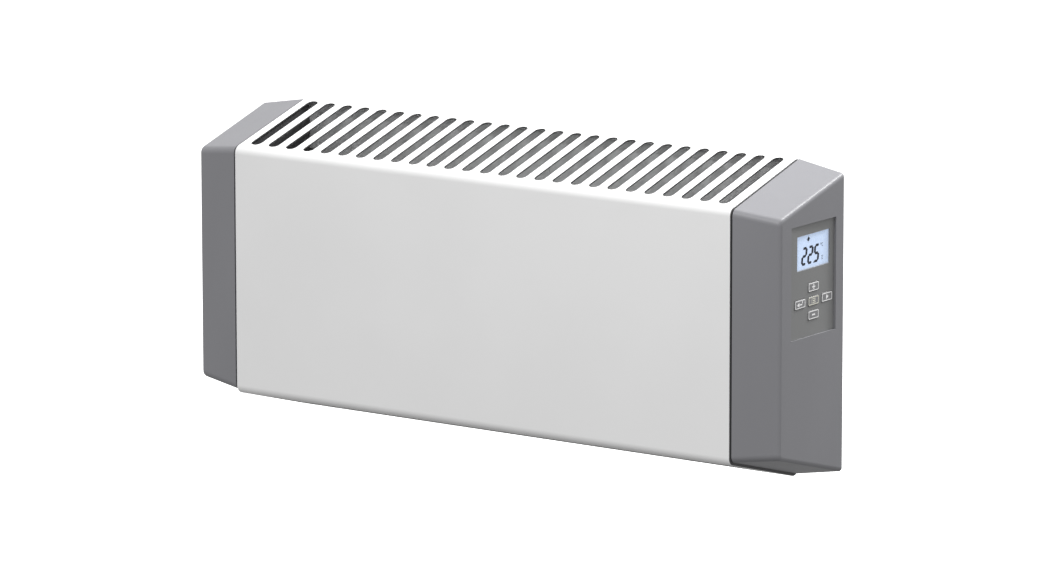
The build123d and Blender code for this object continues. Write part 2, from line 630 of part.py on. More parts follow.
def element_wires():
    """Two wires from a relay, over the relay board, to the element's studs."""
    near = [(276, -71, 36), (276, -71, 48), (236, -71, 48), (236, -71, 2), (231, -71, 2)]
    far = [(276, -78, 36), (276, -78, 54), (236, -78, 54), (236, -33, 54), (236, -33, 2), (231, -33, 2)]
    return [wire(1.3, *near), wire(1.3, *far)]


def motor_wires():
    """Two wires from the motor's coil, behind the duct, to the relay board's header."""
    wires = []
    for z, lead_y, end_y in ((-24.5, -54.0, -58.0), (-29.5, -62.0, -50.0)):
        x = -226.0 if z > -25 else -231.0
        route = [(-214, lead_y, z), (x, lead_y, z), (x, -5.5, z), (243, -5.5, z), (243, -21, z)]
        wires.append(wire(1.0, *route, (279, -21, z), (279, end_y, z), (279, end_y, -46)))
    return wires


def control_ribbon():
    """Flat cable from the control board's header to the relay board's."""
    line = Polyline((303.0, 6.0), (303.0, -51.0), (280.6, -51.0))
    section = Plane(origin=(0, -56, 0), x_dir=(1, 0, 0), z_dir=(0, -1, 0)) * trace(line, 0.9)
    ribbon = extrude(section, -16.0)
    return ribbon & block((280.6, 320), (-100, 0), (-60, 6))


# ---- fasteners ---------------------------------------------------------------------------------
def pan_screw(radius, length):
    """Pan-head screw along +Z from the underside of its head at Z = 0, with a cross recess."""
    head_r, head_h = 2.1 * radius, 1.3 * radius
    head = Pos(0, 0, -head_h / 2) * Cylinder(head_r, head_h)
    head = fillet(head.edges().filter_by(GeomType.CIRCLE).sort_by(Axis.Z)[0], head_h * 0.6)
    recess = Pos(0, 0, -head_h) * cross_recess(radius, head_h)
    return head - recess + Pos(0, 0, length / 2) * Cylinder(radius, length)


def cross_recess(radius, depth):
    """Cutter for a cross recess about the origin."""
    return Box(0.5 * radius, 2.2 * radius, depth) + Box(2.2 * radius, 0.5 * radius, depth)


def cap_screws(side):
    """Four screws from inside the casing's end return into the cap's bosses."""
    x = side * (HALF_WIDTH - SHEET)
    turn = Rot(0, 90 * side, 0)
    return [Pos(x, y, z) * turn * pan_screw(CAP_SCREW_R - 0.02, 15.0) for y, z in CAP_SCREWS]


def base_screws():
    """Three countersunk screws up through the underside into the back plate's foot, flush outside."""
    screw = countersunk_form(1.72, 3.38) - cross_recess(0.9, 1.2) - Box(9, 9, 0.1)
    return [slope_plane(-1) * Pos(x, BASE_SCREW_RUN) * Rot(180, 0, 0) * screw for x in BASE_SCREW_X]


def board_screw_set():
    """Four screws that hold the control board to the cap's posts."""
    return [Pos(PCB_X, y, z) * Rot(0, 90, 0) * pan_screw(1.23, 8.0) for y, z in board_screws()]


def main():
    """Build every node."""
    save("front_casing", front_casing())
    save("back_plate", back_plate())
    save("bulkhead_left", bulkhead(-1))
    save("bulkhead_right", bulkhead(1, holes=((-16.0, -27.0), (-74.5, 51.0))))
    save("end_cap_left", end_cap_left())
    save("end_cap_right", end_cap_right())
    save("control_fascia", control_fascia())
    save("display_lens", display_lens())
    save("display_glass", display_glass())
    save("backlight_box", backlight_box())
    for name, (y, z) in key_places().items():
        save(f"key_{name}", key(y, z))
    save("key_switches", *key_switches())
    save("control_board", control_board())
    save("control_board_parts", *board_parts())
    save("power_board", power_board())
    save("power_board_parts", *power_parts())
    save("power_board_spacers", *board_spacers())
    save("fan_impeller", impeller())
    save("fan_drive_hub", drive_hub())
    save("fan_stub_shaft", stub_shaft())
    save("motor_shaft", motor_shaft())
    save("motor_rotor", motor_rotor())
    save("motor_stator", motor_stator())
    save("motor_coil", motor_coil())
    save("motor_frame_outer", motor_frame(MOTOR_X[0], -1))
    save("motor_frame_inner", motor_frame(MOTOR_X[1], 1))
    save("motor_bearings", motor_bearing(MOTOR_X[0], -1), motor_bearing(MOTOR_X[1], 1))
    save("motor_bracket", motor_bracket())
    guide, tongue = duct_section()
    save("fan_rear_guide", duct_sheet(guide))
    save("fan_tongue", duct_sheet(tongue))
    save("duct_end_plate_left", duct_end_plate(END_PLATES[0], 12.0))
    save("duct_end_plate_right", duct_end_plate(END_PLATES[1], 10.0))
    save("fan_end_bearing", end_bearing())
    save("heating_element", heating_element())
    save("element_fins", *element_fins())
    save("element_bushes", *element_bushes())
    save("element_terminals", *element_terminals())
    save("thermal_cutout", *thermal_cutout())
    save("terminal_block", terminal_block())
    save("terminal_screws", *terminal_screws())
    save("cable_grommet", cable_grommet())
    save("cable_clamp", cable_clamp())
    save("air_sensor", *air_sensor())
    save("supply_wires", *supply_wires())
    save("element_wires", *element_wires())
    save("motor_wires", *motor_wires())
    save("control_ribbon", control_ribbon())
    save("cap_screws_left", *cap_screws(-1))
    save("cap_screws_right", *cap_screws(1))
    save("base_screws", *base_screws())
    save("control_board_screws", *board_screw_set())


if __name__ == "__main__":
    main()
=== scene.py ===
"""Looks for the wall-hung fan convector heater: finishes for every part, display digits and key prints."""

from __future__ import annotations

import json
import logging
import math
from dataclasses import dataclass
from enum import Enum
from typing import Callable, Iterable, Mapping, Sequence, Union

import bmesh
import bpy
from mathutils import Matrix, Vector

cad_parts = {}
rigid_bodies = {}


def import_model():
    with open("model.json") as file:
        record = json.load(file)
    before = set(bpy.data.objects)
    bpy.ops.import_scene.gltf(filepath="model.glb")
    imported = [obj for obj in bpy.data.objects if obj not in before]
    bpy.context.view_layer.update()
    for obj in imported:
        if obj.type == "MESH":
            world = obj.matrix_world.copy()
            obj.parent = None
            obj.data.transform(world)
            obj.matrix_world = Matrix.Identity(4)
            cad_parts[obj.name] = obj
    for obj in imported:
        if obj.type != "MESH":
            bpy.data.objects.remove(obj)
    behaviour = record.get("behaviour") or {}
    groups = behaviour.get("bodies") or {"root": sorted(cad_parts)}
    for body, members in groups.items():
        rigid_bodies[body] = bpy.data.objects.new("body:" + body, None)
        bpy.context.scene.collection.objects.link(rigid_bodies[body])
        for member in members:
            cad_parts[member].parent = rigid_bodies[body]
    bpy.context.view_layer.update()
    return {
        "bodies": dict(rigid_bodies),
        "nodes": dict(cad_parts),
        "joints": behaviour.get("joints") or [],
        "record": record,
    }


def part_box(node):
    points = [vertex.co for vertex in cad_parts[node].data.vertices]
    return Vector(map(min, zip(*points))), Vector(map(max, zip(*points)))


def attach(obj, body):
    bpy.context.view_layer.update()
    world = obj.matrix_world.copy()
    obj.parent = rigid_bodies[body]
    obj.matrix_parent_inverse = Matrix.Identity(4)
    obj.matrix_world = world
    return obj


LOG = logging.getLogger("heater")
MM = 0.001
HEATER_BODY = "heater"

Number = Union["Signal", float]
Triple = tuple[float, float, float]
Colour = Triple


# ---- shader maths -------------------------------------------------------------------------------
class Signal:
    """One value socket of a material, with the usual operators."""

    def __init__(self, recipe: "Recipe", socket: bpy.types.NodeSocket) -> None:
        """Wrap a socket.

        Args:
            recipe: The material that holds the socket.
            socket: The output that carries the value.
        """
        self.recipe = recipe
        self.socket = socket

    def maths(self, operation: str, *operands: Number) -> "Signal":
        """Add one Math node.

        Args:
            operation: The Math node's operation.
            operands: Its inputs, in order.

        Returns:
            The node's value.
        """
        inputs = dict(enumerate(operands))
        node = self.recipe.node("ShaderNodeMath", {"operation": operation}, inputs)
        return Signal(self.recipe, node.outputs[0])

    def __add__(self, other: Number) -> "Signal":
        """Sum."""
        return self.maths("ADD", self, other)

    def __radd__(self, other: Number) -> "Signal":
        """Sum, from the right."""
        return self.maths("ADD", other, self)

    def __sub__(self, other: Number) -> "Signal":
        """Difference."""
        return self.maths("SUBTRACT", self, other)

    def __rsub__(self, other: Number) -> "Signal":
        """Difference, from the right."""
        return self.maths("SUBTRACT", other, self)

    def __mul__(self, other: Number) -> "Signal":
        """Product."""
        return self.maths("MULTIPLY", self, other)

    def __rmul__(self, other: Number) -> "Signal":
        """Product, from the right."""
        return self.maths("MULTIPLY", other, self)

    def __truediv__(self, other: Number) -> "Signal":
        """Quotient."""
        return self.maths("DIVIDE", self, other)

    def __gt__(self, other: Number) -> "Signal":
        """1 where this value is the larger."""
        return self.maths("GREATER_THAN", self, other)

    def __lt__(self, other: Number) -> "Signal":
        """1 where this value is the smaller."""
        return self.maths("LESS_THAN", self, other)

    def fraction(self) -> "Signal":
        """The part after the point."""
        return self.maths("FRACT", self)

    def size(self) -> "Signal":
        """The value without its sign."""
        return self.maths("ABSOLUTE", self)

    def ramp(self, low: float, high: float) -> "Signal":
        """Map low to 0 and high to 1, held at both ends and eased between them.

        Args:
            low: The value that gives 0.
            high: The value that gives 1.

        Returns:
            The mapped value.
        """
        settings = {"interpolation_type": "SMOOTHSTEP"}
        inputs = {"Value": self, "From Min": low, "From Max": high}
        node = self.recipe.node("ShaderNodeMapRange", settings, inputs)
        return Signal(self.recipe, node.outputs["Result"])


class Recipe:
    """One material under construction."""

    def __init__(self, name: str) -> None:
        """Start an empty node material.

        Args:
            name: The material's name.
        """
        self.material = bpy.data.materials.new(name)
        self.material.use_nodes = True
        self.tree = self.material.node_tree
        self.tree.nodes.clear()
        self.object_point = self.node("ShaderNodeTexCoord").outputs["Object"]

    def node(self, kind: str, settings: Mapping[str, object] | None = None,
             inputs: Mapping[Union[str, int], object] | None = None) -> bpy.types.Node:
        """Add a node, set it up, then fill its sockets.

        Args:
            kind: The node's type.
            settings: Properties to set first.
            inputs: Values, sockets or signals by the input's name or number.

        Returns:
            The node.
        """
        made = self.tree.nodes.new(kind)
        for key, value in (settings or {}).items():
            setattr(made, key, value)
        for key, value in (inputs or {}).items():
            self.feed(made.inputs[key], value)
        return made

    def feed(self, target: bpy.types.NodeSocket, value: object) -> None:
        """Link or set one input.

        Args:
            target: The input.
            value: A signal, a socket, a number or a colour.
        """
        source = value.socket if isinstance(value, Signal) else value
        if isinstance(source, bpy.types.NodeSocket):
            self.tree.links.new(source, target)
        elif isinstance(source, tuple) and target.type == "RGBA":
            target.default_value = (*source, 1.0)
        else:
            target.default_value = source

    def placed(self, stretch: Triple = (1.0, 1.0, 1.0)) -> bpy.types.NodeSocket:
        """Object coordinates, stretched along each axis."""
        inputs = {"Vector": self.object_point, "Scale": stretch}
        return self.node("ShaderNodeMapping", None, inputs).outputs["Vector"]

    def noise(self, scale: float, detail: float = 2.0, stretch: Triple = (1.0, 1.0, 1.0)) -> Signal:
        """Soft noise over the piece.

        Args:
            scale: Features per metre.
            detail: Octaves of finer noise.
            stretch: Scale along each axis.

        Returns:
            The noise, from 0 to 1.
        """
        inputs = {"Vector": self.placed(stretch), "Scale": scale, "Detail": detail}
        return Signal(self, self.node("ShaderNodeTexNoise", None, inputs).outputs[0])

    def cells(self, scale: float, feature: str = "F1") -> bpy.types.Node:
        """Cell pattern over the piece.

        Args:
            scale: Cells per metre.
            feature: Which of the pattern's measures to give.

        Returns:
            The pattern's node.
        """
        inputs = {"Vector": self.placed(), "Scale": scale}
        return self.node("ShaderNodeTexVoronoi", {"feature": feature}, inputs)

    def along(self, axis: str) -> Signal:
        """One coordinate of the piece, in metres."""
        inputs = {"Vector": self.object_point}
        return Signal(self, self.node("ShaderNodeSeparateXYZ", None, inputs).outputs[axis])

    def mix(self, factor: Number, low: object, high: object) -> bpy.types.NodeSocket:
        """Blend two colours.

        Args:
            factor: 0 for low, 1 for high.
            low: Colour at 0.
            high: Colour at 1.

        Returns:
            The blended colour.
        """
        inputs = {0: factor, 6: low, 7: high}
        return self.node("ShaderNodeMix", {"data_type": "RGBA"}, inputs).outputs[2]

    def bump(self, height: Signal, depth: float, strength: float = 1.0) -> bpy.types.NodeSocket:
        """Turn a height into a normal.

        Args:
            height: Height from 0 to 1.
            depth: Real depth of that height, in metres.
            strength: Strength of the effect.

        Returns:
            The normal.
        """
        inputs = {"Height": height, "Distance": depth, "Strength": strength}
        return self.node("ShaderNodeBump", None, inputs).outputs["Normal"]

    def finish(self, **inputs: object) -> bpy.types.Material:
        """Close the recipe with a Principled surface.

        Args:
            inputs: Socket values, with underscores for spaces.

        Returns:
            The material.
        """
        named = {key.replace("_", " "): value for key, value in inputs.items()}
        surface = self.node("ShaderNodeBsdfPrincipled", None, named)
        self.node("ShaderNodeOutputMaterial", None, {"Surface": surface.outputs["BSDF"]})
        return self.material


def tint(colour: Colour, factor: float) -> Colour:
    """Scale a colour's brightness, held below white."""
    return tuple(min(channel * factor, 0.98) for channel in colour)


# ---- finishes -----------------------------------------------------------------------------------
@dataclass(frozen=True)
class PowderCoat:
    """Baked powder on sheet steel: fine orange peel and faint cloudiness."""

    name: str
    colour: Colour
    roughness: float = 0.38
    peel_depth: float = 0.00004

    def make(self) -> bpy.types.Material:
        """Build the material.

        Returns:
            The material.
        """
        recipe = Recipe(self.name)
        peel = recipe.noise(420.0, 2.0) + 0.35 * recipe.noise(1500.0, 1.0)
        return recipe.finish(Base_Color=self.coat(recipe),
                             Roughness=self.roughness + 0.06 * recipe.noise(90.0, 3.0),
                             Normal=recipe.bump(peel, self.peel_depth, 0.55),
                             Coat_Weight=0.10, Coat_Roughness=0.25)

    def coat(self, recipe: Recipe) -> bpy.types.NodeSocket:
        """Give the coat's colour, with faint clouds and specks.

        Args:
            recipe: The material under construction.

        Returns:
            The colour.
        """
        cloud = recipe.noise(7.0, 3.0).ramp(0.3, 0.7)
        specks = recipe.noise(2600.0, 1.0).ramp(0.62, 0.74)
        base = recipe.mix(cloud, tint(self.colour, 0.985), tint(self.colour, 1.012))
        return recipe.mix(specks * 0.10, base, tint(self.colour, 0.80))


@dataclass(frozen=True)
class SlottedCoat(PowderCoat):
    """Coated sheet with painted shade on its slots' walls and a thin rim round each slot, and painted shadow
    over the last of its length at both ends, where the end caps meet it.

    The mask follows the top row of slots and has no limit in height. The slots of the underside are
    shorter, so strips beyond their ends are dark too.
    """

    pitch: float = 0.020
    half_width: float = 0.00525
    slot_run: tuple[float, float] = (-0.1033, -0.0076)
    row_end: float = 0.268
    cut_end: float = 0.2750
    margin: float = 0.0003
    painted_shade_colour: Colour = (0.05, 0.05, 0.052)

    def coat(self, recipe: Recipe) -> bpy.types.NodeSocket:
        """Give the coat's colour, with the painted shade of the slot walls and the painted shadow at the
        casing's ends laid over it.

        Args:
            recipe: The material under construction.

        Returns:
            The colour.
        """
        x = recipe.along("X")
        low, high = self.slot_run
        across = ((x / self.pitch + 0.5).fraction() - 0.5).size() * self.pitch
        past_end = (recipe.along("Y") - (low + high) / 2).size() - ((high - low) / 2 - self.half_width)
        past_end = past_end.maths("MAXIMUM", past_end, 0.0)
        # Painted shade: the slot walls and a thin rim round each slot, plus a near-black band at both cut
        # ends that stands for the shadow in the gap to the end caps.
        wall = across * across + past_end * past_end < (self.half_width + self.margin) ** 2
        edges = wall * (x.size() < self.row_end) + (x.size() > self.cut_end)
        return recipe.mix(edges, super().coat(recipe), self.painted_shade_colour)


@dataclass(frozen=True)
class MouldedPlastic:
    """Injection moulding with a spark-eroded grain and faint flow tone."""

    name: str
    colour: Colour
    roughness: float = 0.48
    grain: float = 1700.0
    grain_depth: float = 0.00005

    def make(self) -> bpy.types.Material:
        """Build the material.

        Returns:
            The material.
        """
        recipe = Recipe(self.name)
        pits = Signal(recipe, recipe.cells(self.grain, "SMOOTH_F1").outputs["Distance"])
        fine = recipe.noise(self.grain * 1.9, 2.0)
        grain = pits + 0.5 * fine
        flow = recipe.noise(11.0, 3.0, (1.0, 1.0, 0.35)).ramp(0.25, 0.75)
        base = recipe.mix(flow, tint(self.colour, 0.97), tint(self.colour, 1.03))
        base = recipe.mix((1.0 - pits.ramp(0.05, 0.5)) * 0.10, base, tint(self.colour, 0.72))
        rough = self.roughness + 0.10 * fine - 0.04 * flow
        return recipe.finish(Base_Color=base, Roughness=rough,
                             Normal=recipe.bump(grain, self.grain_depth, 0.6))


@dataclass(frozen=True)
class GalvanisedSheet:
    """Hot-dip zinc with faint spangle and rolling lines."""

    name: str
    colour: Colour
    metal: float = 0.6
    spangles: float = 110.0

    def make(self) -> bpy.types.Material:
        """Build the material.

        Returns:
            The material.
        """
        recipe = Recipe(self.name)
        spangle = recipe.cells(self.spangles)
        tone = Signal(recipe, recipe.node("ShaderNodeSeparateColor", None,
                                          {"Color": spangle.outputs["Color"]}).outputs[0])
        rolling = recipe.noise(60.0, 3.0, (0.4, 12.0, 12.0))
        shade = 0.65 * tone + 0.35 * rolling
        base = recipe.mix(shade, tint(self.colour, 0.86), tint(self.colour, 1.12))
        outlines = recipe.cells(self.spangles, "DISTANCE_TO_EDGE")
        edges = Signal(recipe, outlines.outputs["Distance"]).ramp(0.0, 0.08)
        return recipe.finish(Base_Color=base, Metallic=self.metal, Roughness=0.36 + 0.20 * shade,
                             Normal=recipe.bump(edges + 0.3 * rolling, 0.00002, 0.5))


class MetalWork(Enum):
    """How a bare metal surface was worked, as its lines' stretch along each axis."""

    TURNED = (30.0, 1.0, 1.0)
    DRAWN = (0.6, 14.0, 14.0)
    CAST = (1.0, 1.0, 1.0)


@dataclass(frozen=True)
class BareMetal:
    """Bare metal with the marks of its making and a little darkening."""

    name: str
    colour: Colour
    work: MetalWork = MetalWork.TURNED
    roughness: float = 0.30
    metal: float = 1.0
    stain: Colour = (0.10, 0.09, 0.08)
    stain_amount: float = 0.25

    def make(self) -> bpy.types.Material:
        """Build the material.

        Returns:
            The material.
        """
        recipe = Recipe(self.name)
        lines = recipe.noise(320.0, 3.0, self.work.value)
        patches = recipe.noise(48.0, 4.0).ramp(0.48, 0.78)
        base = recipe.mix(lines, tint(self.colour, 0.82), tint(self.colour, 1.12))
        base = recipe.mix(patches * self.stain_amount, base, self.stain)
        rough = self.roughness + 0.18 * lines + 0.15 * patches
        return recipe.finish(Base_Color=base, Metallic=self.metal, Roughness=rough,
                             Normal=recipe.bump(lines, 0.00003, 0.5))


@dataclass(frozen=True)
class Striped:
    """A stack or winding: fine lines across one axis, such as laminations, wire turns or ribbon cores."""

    name: str
    colour: Colour
    groove: Colour
    axis: str = "X"
    pitch: float = 0.0006
    roughness: float = 0.45
    metal: float = 0.0
    depth: float = 0.00015

    def make(self) -> bpy.types.Material:
        """Build the material.

        Returns:
            The material.
        """
        recipe = Recipe(self.name)
        phase = (recipe.along(self.axis) / self.pitch + 0.5 * recipe.noise(160.0, 2.0)).fraction()
        ridge = 1.0 - 2.0 * (phase - 0.5).size()
        gap = 1.0 - ridge.ramp(0.05, 0.40)
        tone = recipe.noise(70.0, 3.0)
        base = recipe.mix(tone, tint(self.colour, 0.85), tint(self.colour, 1.15))
        base = recipe.mix(gap * 0.8, base, self.groove)
        return recipe.finish(Base_Color=base, Metallic=self.metal, Roughness=self.roughness + 0.2 * tone,
                             Normal=recipe.bump(ridge.ramp(0.0, 0.5), self.depth, 0.8))


@dataclass(frozen=True)
class CircuitLaminate:
    """Solder-resisted board with copper tracks showing through as a lighter green."""

    name: str
    resist: Colour = (0.012, 0.10, 0.035)
    track: Colour = (0.03, 0.22, 0.08)
    pad: Colour = (0.62, 0.60, 0.55)
    pitch: float = 0.00254
    half_track: float = 0.22

    def make(self) -> bpy.types.Material:
        """Build the material.

        Returns:
            The material.
        """
        recipe = Recipe(self.name)
        y, z = recipe.along("Y"), recipe.along("Z")
        lane = recipe.noise(45.0, 0.0, (1.0, 1.0, 0.2)).ramp(0.50, 0.52)
        rows = ((z / self.pitch).fraction() - 0.5).size() < self.half_track
        columns = ((y / self.pitch).fraction() - 0.5).size() < self.half_track
        tracks = rows * lane + columns * (1.0 - lane)
        holes = Signal(recipe, recipe.cells(170.0).outputs["Distance"]) < 0.16
        base = recipe.mix(tracks.ramp(0.2, 0.8), self.resist, self.track)
        base = recipe.mix(holes, base, self.pad)
        return recipe.finish(Base_Color=base, Roughness=0.32 + 0.15 * recipe.noise(500.0),
                             Metallic=holes * 0.9, Normal=recipe.bump(tracks.ramp(0.1, 0.9), 0.00004, 0.6))


@dataclass(frozen=True)
class BacklitCrystal:
    """Liquid-crystal field with an even pale blue glow that falls off towards its edges."""

    name: str
    field_colour: Colour = (0.52, 0.63, 0.82)
    glow: float = 0.53
    half_height: float = 0.0158

    def make(self, centre_y: float, centre_z: float) -> bpy.types.Material:
        """Build the material.

        Args:
            centre_y: The window's middle along Y, in metres.
            centre_z: The window's middle along Z, in metres.

        Returns:
            The material.
        """
        recipe = Recipe(self.name)
        dy = (recipe.along("Y") - centre_y).size() / (self.half_height * 1.65)
        dz = (recipe.along("Z") - centre_z).size() / self.half_height
        edge = dy.maths("MAXIMUM", dy, dz).ramp(0.70, 1.0)
        grid = ((recipe.along("Y") / 0.0004).fraction() - 0.5).size() < 0.06
        base = recipe.mix(edge, self.field_colour, tint(self.field_colour, 0.90))
        base = recipe.mix(grid * 0.06, base, (0.1, 0.15, 0.3))
        return recipe.finish(Base_Color=base, Roughness=0.22 + 0.1 * recipe.noise(300.0),
                             Emission_Color=base, Emission_Strength=self.glow)


@dataclass(frozen=True)
class ClearWindow:
    """Thin clear polycarbonate, seen mostly by its gloss."""

    name: str

    def make(self) -> bpy.types.Material:
        """Build the material.

        Returns:
            The material.
        """
        recipe = Recipe(self.name)
        haze = recipe.noise(260.0, 3.0)
        return recipe.finish(Base_Color=(0.30, 0.34, 0.40), Roughness=0.06 + 0.06 * haze,
                             Alpha=0.03 + 0.03 * haze, Normal=recipe.bump(haze, 0.00001, 0.2))


# ---- modelling ----------------------------------------------------------------------------------
class Bench:
    """Modelling steps that the drawn pieces share. Work is done flat, in millimetres, then put in place.

    RIM is a print's sloping rim as a share of its width, and CROWN its rise as a share of its thickness.
    """

    SIDE_FACE = Matrix(((0, 0, 1), (1, 0, 0), (0, 1, 0))).to_euler()
    RIM = 0.06
    CROWN = 0.25

    @staticmethod
    def clear() -> None:
        """Deselect everything."""
        bpy.ops.object.select_all(action="DESELECT")

    @classmethod
    def start(cls, add: Callable[..., object], **size: object) -> bpy.types.Object:
        """Add a primitive with nothing else selected and go to edit mode.

        Args:
            add: The primitive's operator.
            size: The operator's arguments.

        Returns:
            The new object, in edit mode and selected all over.
        """
        cls.clear()
        add(**size)
        bpy.ops.object.mode_set(mode="EDIT")
        return bpy.context.object

    @staticmethod
    def pick(piece: bpy.types.Object, test: Callable[[Vector], bool], faces: bool = False) -> None:
        """Select the vertices or faces that pass a test, in edit mode.

        Args:
            piece: The object in edit mode.
            test: Says whether a vertex's place, or a face's middle, is wanted.
            faces: Pick faces in place of vertices.
        """
        bpy.ops.mesh.select_all(action="DESELECT")
        bpy.ops.mesh.select_mode(type="FACE" if faces else "VERT")
        mesh = bmesh.from_edit_mesh(piece.data)
        for element in (mesh.faces if faces else mesh.verts):
            place = element.calc_center_median() if faces else element.co
            element.select_set(bool(test(place)))
        mesh.select_flush_mode()
        bmesh.update_edit_mesh(piece.data)

    @classmethod
    def strip(cls, length: float, width: float, thick: float, upright: bool = False) -> bpy.types.Object:
        """A printed bar with pointed ends, flat on the bench.

        Args:
            length: End to end.
            width: Across.
            thick: Height of the print.
            upright: Turn it to run up the page.

        Returns:
            The bar.
        """
        piece = cls.start(bpy.ops.mesh.primitive_cylinder_add, vertices=6, radius=width / 2, depth=thick)
        reach = (length - width) / 2
        for side in (-1, 1):
            cls.pick(piece, lambda place: place.y * side > 1e-6)
            bpy.ops.transform.translate(value=(0, side * reach, 0))
        bpy.ops.mesh.select_all(action="SELECT")
        if not upright:
            bpy.ops.transform.rotate(value=math.pi / 2, orient_axis="Z", center_override=(0, 0, 0))
        cls.pick(piece, lambda place: place.z > 0, faces=True)
        bpy.ops.mesh.inset(thickness=width * cls.RIM)
        bpy.ops.transform.translate(value=(0, 0, thick * cls.CROWN))
        bpy.ops.object.mode_set(mode="OBJECT")
        return piece

    @classmethod
    def outline(cls, width: float, height: float, line: float, corner: float,
                thick: float) -> bpy.types.Object:
        """A printed rounded outline.

        Args:
            width: Outside width.
            height: Outside height.
            line: Line width.
            corner: Outside corner radius.
            thick: Height of the print.

        Returns:
            The outline.
        """
        piece = cls.start(bpy.ops.mesh.primitive_plane_add, size=1.0)
        bpy.ops.transform.resize(value=(width, height, 1.0))
        bpy.ops.mesh.bevel(affect="VERTICES", offset=corner, segments=4)
        bpy.ops.mesh.select_mode(type="FACE")
        bpy.ops.mesh.select_all(action="SELECT")
        bpy.ops.mesh.inset(thickness=line)
        bpy.ops.mesh.delete(type="FACE")
        bpy.ops.mesh.select_all(action="SELECT")
        bpy.ops.mesh.extrude_region_move(TRANSFORM_OT_translate={"value": (0, 0, thick)})
        bpy.ops.mesh.select_all(action="SELECT")
        bpy.ops.mesh.normals_make_consistent(inside=False)
        bpy.ops.object.mode_set(mode="OBJECT")
        return piece

    @classmethod
    def disc(cls, radius: float, thick: float, sides: int = 16, turn: float = 0.0) -> bpy.types.Object:
        """A printed dot, or a triangle with three sides.

        Args:
            radius: Radius to the corners.
            thick: Height of the print.
            sides: Number of sides.
            turn: Turn about its middle, in radians.

        Returns:
            The dot.
        """
        piece = cls.start(bpy.ops.mesh.primitive_cylinder_add, vertices=sides, radius=radius, depth=thick)
        bpy.ops.transform.rotate(value=-turn, orient_axis="Z", center_override=(0, 0, 0))
        cls.pick(piece, lambda place: place.z > 0, faces=True)
        bpy.ops.mesh.inset(thickness=2 * radius * cls.RIM)
        bpy.ops.transform.translate(value=(0, 0, thick * cls.CROWN))
        bpy.ops.object.mode_set(mode="OBJECT")
        return piece

    @classmethod
    def shift(cls, piece: bpy.types.Object, u: float, v: float) -> bpy.types.Object:
        """Move a piece over the bench, into its mesh.

        Args:
            piece: The piece.
            u: How far across.
            v: How far up.

        Returns:
            The same piece.
        """
        cls.clear()
        piece.select_set(True)
        bpy.context.view_layer.objects.active = piece
        piece.location = (u, v, 0)
        bpy.ops.object.transform_apply(location=True, rotation=True, scale=True)
        return piece

    @classmethod
    def join(cls, name: str, pieces: Sequence[bpy.types.Object]) -> bpy.types.Object:
        """Make one object of several.

        Args:
            name: Name of the joined object.
            pieces: What to join.

        Returns:
            The joined object.
        """
        cls.clear()
        for piece in pieces:
            piece.select_set(True)
        bpy.context.view_layer.objects.active = pieces[0]
        if len(pieces) > 1:
            bpy.ops.object.join()
        joined = bpy.context.view_layer.objects.active
        joined.name = name
        joined.data.name = name
        return joined

    @classmethod
    def slant(cls, piece: bpy.types.Object, per_height: float) -> None:
        """Lean a flat drawing to the right as it rises."""
        for vertex in piece.data.vertices:
            vertex.co.x += vertex.co.y * per_height

    @classmethod
    def mount(cls, piece: bpy.types.Object, x: float, y: float, z: float) -> None:
        """Stand a flat drawing on a face that looks along +X.

        Args:
            piece: The drawing.
            x: Its place along X, in millimetres.
            y: Its place along Y.
            z: Its place along Z.
        """
        cls.clear()
        piece.select_set(True)
        bpy.context.view_layer.objects.active = piece
        piece.rotation_euler = cls.SIDE_FACE
        piece.scale = (MM, MM, MM)
        piece.location = (x * MM, y * MM, z * MM)
        bpy.ops.object.transform_apply(location=True, rotation=True, scale=True)


def dress(piece: bpy.types.Object, material: bpy.types.Material, body: str) -> None:
    """Finish a new piece and let it ride.

    Args:
        piece: The piece.
        material: Its material.
        body: The body it moves with.
    """
    piece.data.materials.clear()
    piece.data.materials.append(material)
    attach(piece, body)
    LOG.info("%s rides on %s", piece.name, body)


# ---- sub-assemblies -----------------------------------------------------------------------------
class Finisher:
    """Gives carried-over nodes their materials."""

    @staticmethod
    def paint(frame: dict, material: bpy.types.Material, nodes: Iterable[str]) -> None:
        """Put a material on nodes.

        Args:
            frame: The loaded frame.
            material: The material.
            nodes: Names of the nodes.
        """
        for name in nodes:
            mesh = frame["nodes"][name].data
            mesh.materials.clear()
            mesh.materials.append(material)
            LOG.info("%s has %s", name, material.name)


@dataclass
class Shells:
    """Steel casing, end caps, fascia, back plate and bulkheads."""

    frame: dict
    white: SlottedCoat = SlottedCoat("white_coil_coat", (0.83, 0.83, 0.83))
    dark: PowderCoat = PowderCoat("dark_powder_coat", (0.045, 0.045, 0.047), 0.5)
    cap: MouldedPlastic = MouldedPlastic("cap_grey_moulding", (0.225, 0.225, 0.24), 0.36)
    fascia: MouldedPlastic = MouldedPlastic("fascia_grey_film", (0.215, 0.217, 0.217), 0.42, 2600.0, 0.00002)
    zinc: GalvanisedSheet = GalvanisedSheet("galvanised_chassis", (0.58, 0.585, 0.59), 0.25)
    zinc_nodes: tuple[str, ...] = ("back_plate", "motor_bracket", "fan_rear_guide", "fan_tongue",
                                   "duct_end_plate_left", "duct_end_plate_right")

    def build(self) -> None:
        """Dress the shells."""
        Finisher.paint(self.frame, self.white.make(), ["front_casing"])
        Finisher.paint(self.frame, self.dark.make(), ["bulkhead_left", "bulkhead_right"])
        Finisher.paint(self.frame, self.cap.make(), ["end_cap_left", "end_cap_right"])
        Finisher.paint(self.frame, self.fascia.make(), ["control_fascia"])
        Finisher.paint(self.frame, self.zinc.make(), self.zinc_nodes)


